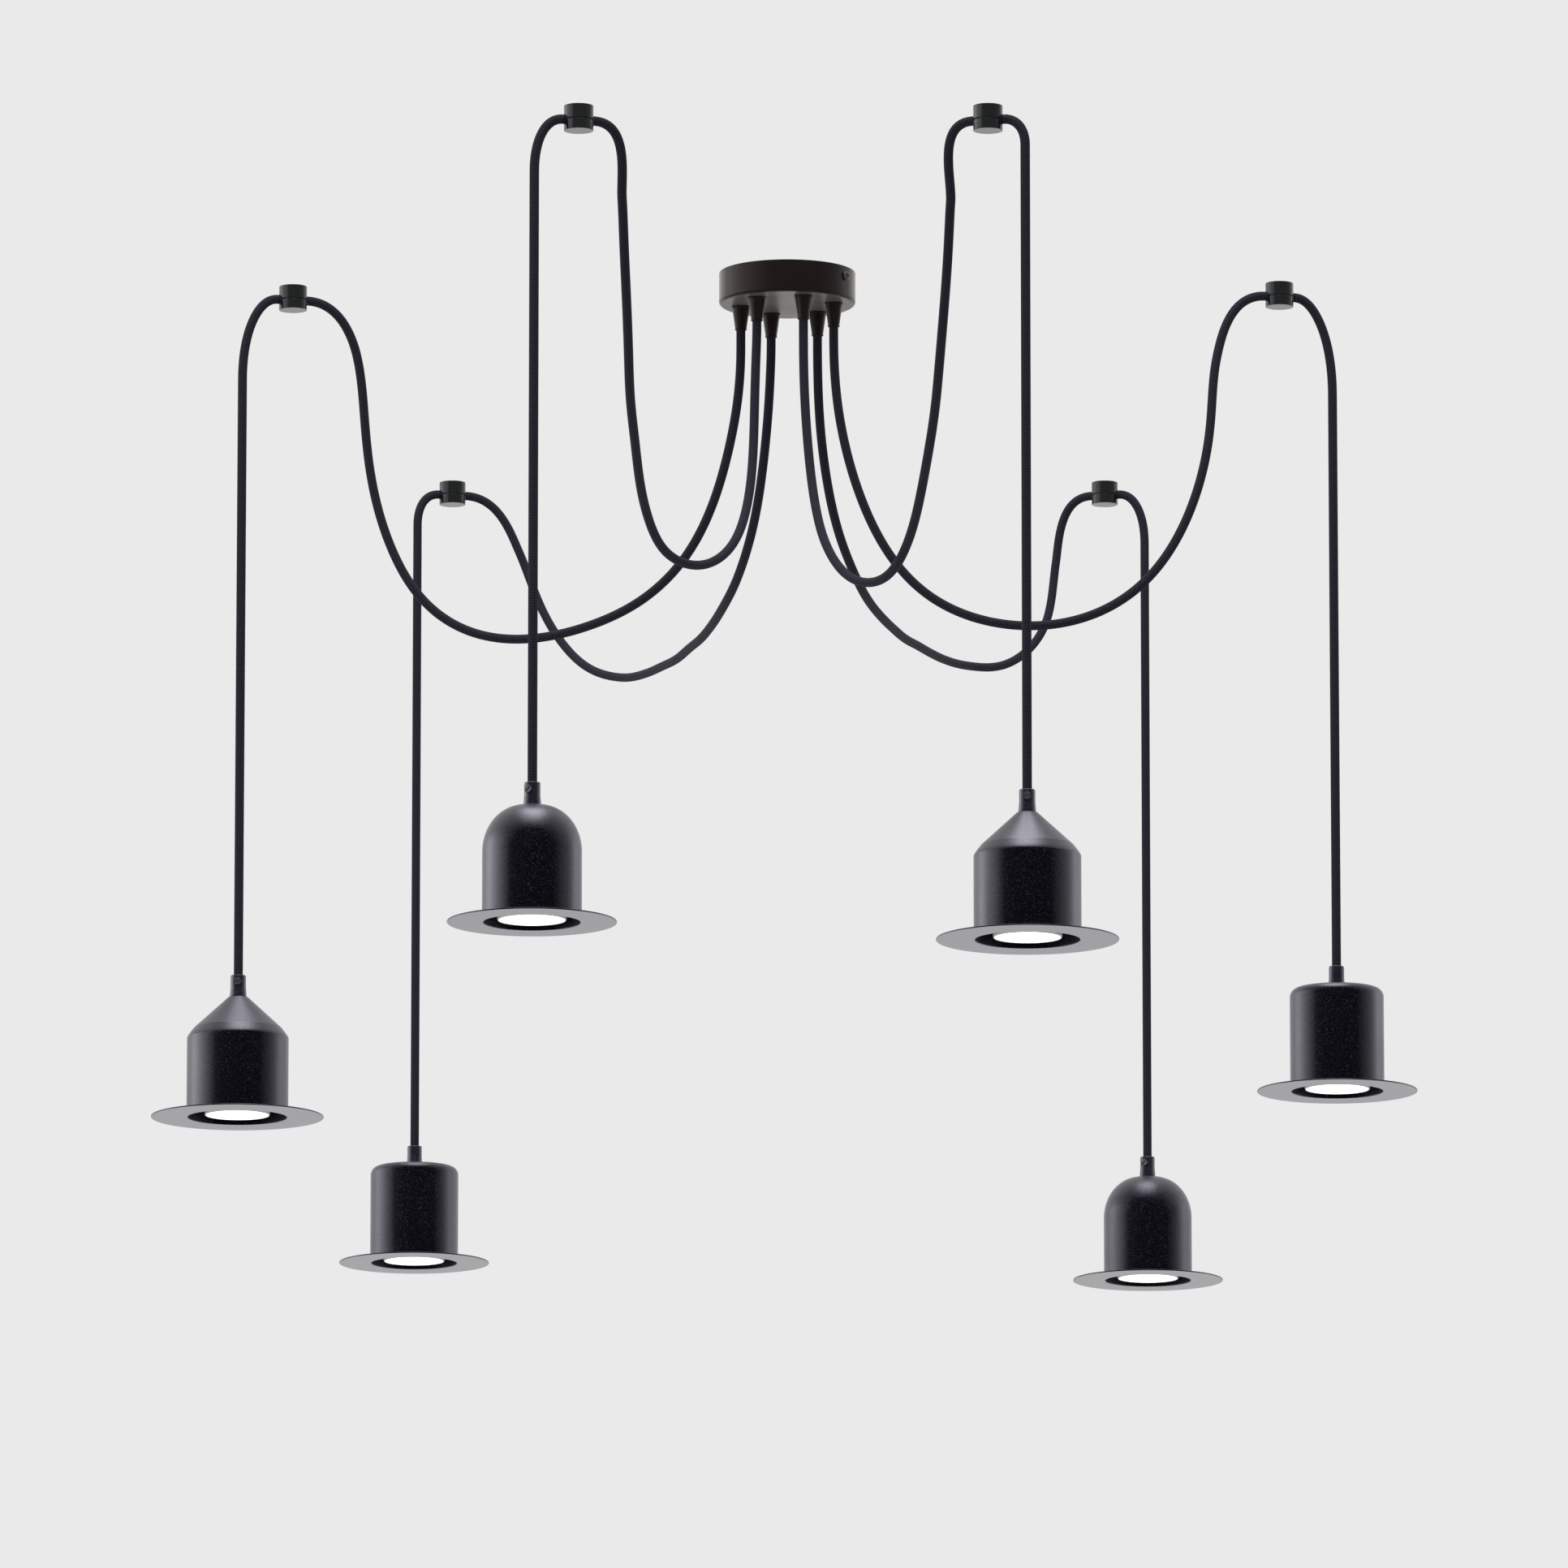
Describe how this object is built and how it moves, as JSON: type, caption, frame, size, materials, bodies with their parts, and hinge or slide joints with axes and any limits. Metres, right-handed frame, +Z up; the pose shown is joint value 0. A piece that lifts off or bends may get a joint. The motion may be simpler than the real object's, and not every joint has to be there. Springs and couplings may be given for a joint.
{
  "type": "multi-light pendant light",
  "caption": "Round ceiling canopy with textile cords that swag to ceiling hooks and drop to black metal hat-shaped shades with lamps inside.",
  "frame": {"origin": "on the ceiling plane, at the middle of the bracket inside the canopy", "axes": "+Z up, +Y away from the side that the picture looks at, +X to its right"},
  "size_m": [0.9683, 1.5238, 0.668],
  "materials": {
    "canopy_coat": "satin black-brown coat",
    "zinc_steel": "zinc plated",
    "white_polyamide": "moulded",
    "black_screw": "blackened",
    "black_nylon": "moulded",
    "hook_coat": "gloss black coat",
    "textile_cord": "round braid",
    "clamp_coat": "satin black coat",
    "shade_coat": "fine textured black powder coat",
    "white_ceramic": "glazed ceramic",
    "lamp_white": "opal lens and white body"
  },
  "bodies": {
    "ceiling_set": {"canopy_cup": "canopy_coat", "ceiling_bracket": "zinc_steel", "terminal_block": "white_polyamide", "side_screw_1": "black_screw", "side_screw_2": "black_screw", "cord_grip_1": "black_nylon", "ceiling_hook_1": "hook_coat", "swag_cord_1": "textile_cord", "cord_grip_2": "black_nylon", "ceiling_hook_2": "hook_coat", "swag_cord_2": "textile_cord", "cord_grip_3": "black_nylon", "ceiling_hook_3": "hook_coat", "swag_cord_3": "textile_cord", "cord_grip_4": "black_nylon", "ceiling_hook_4": "hook_coat", "swag_cord_4": "textile_cord", "cord_grip_5": "black_nylon", "ceiling_hook_5": "hook_coat", "swag_cord_5": "textile_cord", "cord_grip_6": "black_nylon", "ceiling_hook_6": "hook_coat", "swag_cord_6": "textile_cord"},
    "hanger_1": {"arch_cord_1": "textile_cord"},
    "lamp_1": {"drop_cord_1": "textile_cord", "cord_clamp_1": "clamp_coat", "shade_1": "shade_coat", "lamp_holder_1": "white_ceramic"},
    "lamp_led_1": {"bulb_1": "lamp_white"},
    "hanger_2": {"arch_cord_2": "textile_cord"},
    "lamp_2": {"drop_cord_2": "textile_cord", "cord_clamp_2": "clamp_coat", "shade_2": "shade_coat", "lamp_holder_2": "white_ceramic"},
    "lamp_led_2": {"bulb_2": "lamp_white"},
    "hanger_3": {"arch_cord_3": "textile_cord"},
    "lamp_3": {"drop_cord_3": "textile_cord", "cord_clamp_3": "clamp_coat", "shade_3": "shade_coat", "lamp_holder_3": "white_ceramic"},
    "lamp_led_3": {"bulb_3": "lamp_white"},
    "hanger_4": {"arch_cord_4": "textile_cord"},
    "lamp_4": {"drop_cord_4": "textile_cord", "cord_clamp_4": "clamp_coat", "shade_4": "shade_coat", "lamp_holder_4": "white_ceramic"},
    "lamp_led_4": {"bulb_4": "lamp_white"},
    "hanger_5": {"arch_cord_5": "textile_cord"},
    "lamp_5": {"drop_cord_5": "textile_cord", "cord_clamp_5": "clamp_coat", "shade_5": "shade_coat", "lamp_holder_5": "white_ceramic"},
    "lamp_led_5": {"bulb_5": "lamp_white"},
    "hanger_6": {"arch_cord_6": "textile_cord"},
    "lamp_6": {"drop_cord_6": "textile_cord", "cord_clamp_6": "clamp_coat", "shade_6": "shade_coat", "lamp_holder_6": "white_ceramic"},
    "lamp_led_6": {"bulb_6": "lamp_white"}
  },
  "joints": [
    {"name": "swing_fore_aft_1", "type": "hinge", "parent": "ceiling_set", "child": "hanger_1", "pos_m": [-0.152, -0.57601, -0.0105], "axis": [-0.9659, -0.2588, 0], "range_deg": [-20, 20]},
    {"name": "swing_sideways_1", "type": "hinge", "parent": "hanger_1", "child": "lamp_1", "pos_m": [-0.18407, -0.58461, -0.05129], "axis": [0.2588, -0.9659, 0], "range_deg": [-10, 10]},
    {"name": "bulb_twist_1", "type": "hinge", "parent": "lamp_1", "child": "lamp_led_1", "pos_m": [-0.18407, -0.58461, -0.6029], "axis": [0, 0, -1], "range_deg": [0, 25]},
    {"name": "swing_fore_aft_2", "type": "hinge", "parent": "ceiling_set", "child": "hanger_2", "pos_m": [0.146, -0.57601, -0.0105], "axis": [0.9659, -0.2588, 0], "range_deg": [-20, 20]},
    {"name": "swing_sideways_2", "type": "hinge", "parent": "hanger_2", "child": "lamp_2", "pos_m": [0.17295, -0.58323, -0.03187], "axis": [0.2588, 0.9659, 0], "range_deg": [-10, 10]},
    {"name": "bulb_twist_2", "type": "hinge", "parent": "lamp_2", "child": "lamp_led_2", "pos_m": [0.17295, -0.58323, -0.61537], "axis": [0, 0, -1], "range_deg": [0, 25]},
    {"name": "swing_fore_aft_3", "type": "hinge", "parent": "ceiling_set", "child": "hanger_3", "pos_m": [-0.382, 0.05, -0.0105], "axis": [-0.9659, -0.2588, 0], "range_deg": [-20, 20]},
    {"name": "swing_sideways_3", "type": "hinge", "parent": "hanger_3", "child": "lamp_3", "pos_m": [-0.42025, 0.03975, -0.07474], "axis": [0.2588, -0.9659, 0], "range_deg": [-10, 10]},
    {"name": "bulb_twist_3", "type": "hinge", "parent": "lamp_3", "child": "lamp_led_3", "pos_m": [-0.42025, 0.03975, -0.64939], "axis": [0, 0, -1], "range_deg": [0, 25]},
    {"name": "swing_fore_aft_4", "type": "hinge", "parent": "ceiling_set", "child": "hanger_4", "pos_m": [0.38001, 0.03801, -0.0105], "axis": [0.9659, 0.2588, 0], "range_deg": [-20, 20]},
    {"name": "swing_sideways_4", "type": "hinge", "parent": "hanger_4", "child": "lamp_4", "pos_m": [0.42087, 0.04896, -0.08464], "axis": [-0.2588, 0.9659, 0], "range_deg": [-10, 10]},
    {"name": "bulb_twist_4", "type": "hinge", "parent": "lamp_4", "child": "lamp_led_4", "pos_m": [0.42087, 0.04896, -0.62791], "axis": [0, 0, -1], "range_deg": [0, 25]},
    {"name": "swing_fore_aft_5", "type": "hinge", "parent": "ceiling_set", "child": "hanger_5", "pos_m": [-0.27699, 0.821, -0.0105], "axis": [-0.9659, -0.2588, 0], "range_deg": [-20, 20]},
    {"name": "swing_sideways_5", "type": "hinge", "parent": "hanger_5", "child": "lamp_5", "pos_m": [-0.30558, 0.81334, -0.0381], "axis": [0.2588, -0.9659, 0], "range_deg": [-10, 10]},
    {"name": "bulb_twist_5", "type": "hinge", "parent": "lamp_5", "child": "lamp_led_5", "pos_m": [-0.30558, 0.81334, -0.65192], "axis": [0, 0, -1], "range_deg": [0, 25]},
    {"name": "swing_fore_aft_6", "type": "hinge", "parent": "ceiling_set", "child": "hanger_6", "pos_m": [0.26301, 0.821, -0.0105], "axis": [0.9659, -0.2588, 0], "range_deg": [-20, 20]},
    {"name": "swing_sideways_6", "type": "hinge", "parent": "hanger_6", "child": "lamp_6", "pos_m": [0.29566, 0.81225, -0.05349], "axis": [0.2588, 0.9659, 0], "range_deg": [-10, 10]},
    {"name": "bulb_twist_6", "type": "hinge", "parent": "lamp_6", "child": "lamp_led_6", "pos_m": [0.29566, 0.81225, -0.66641], "axis": [0, 0, -1], "range_deg": [0, 25]}
  ]
}
